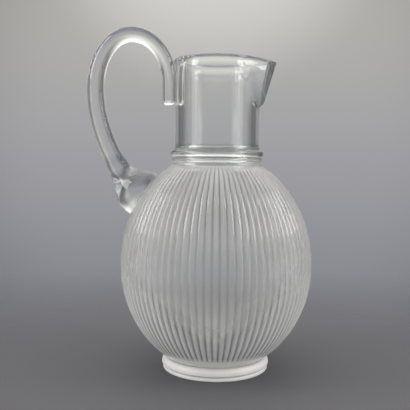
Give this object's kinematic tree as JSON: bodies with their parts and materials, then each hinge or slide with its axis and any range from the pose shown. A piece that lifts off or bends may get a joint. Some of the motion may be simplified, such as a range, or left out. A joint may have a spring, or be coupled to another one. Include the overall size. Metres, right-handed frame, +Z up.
{
  "type": "glass pitcher",
  "caption": "Glass water pitcher with a ribbed satin globe on a disc foot, a clear neck with a pulled spout and a looped rod handle.",
  "frame": {"origin": "centre of the foot's flat underside, on the axis of the globe", "axes": "+Z up along the axis of the globe, +X towards the spout, -X towards the handle, +Y square to the plane of spout and handle"},
  "size_m": [0.1509, 0.128, 0.2278],
  "materials": {
    "clear_glass": "colourless fire-polished glass, smooth and glossy",
    "satin_glass": "colourless glass with a fine satin surface, softly frosted"
  },
  "bodies": {
    "root": {"foot": "satin_glass", "bowl": "satin_glass", "lower_collar_ring": "satin_glass", "upper_collar_ring": "clear_glass", "neck": "clear_glass", "handle_pad": "clear_glass", "handle_rod": "clear_glass"}
  },
  "joints": []
}
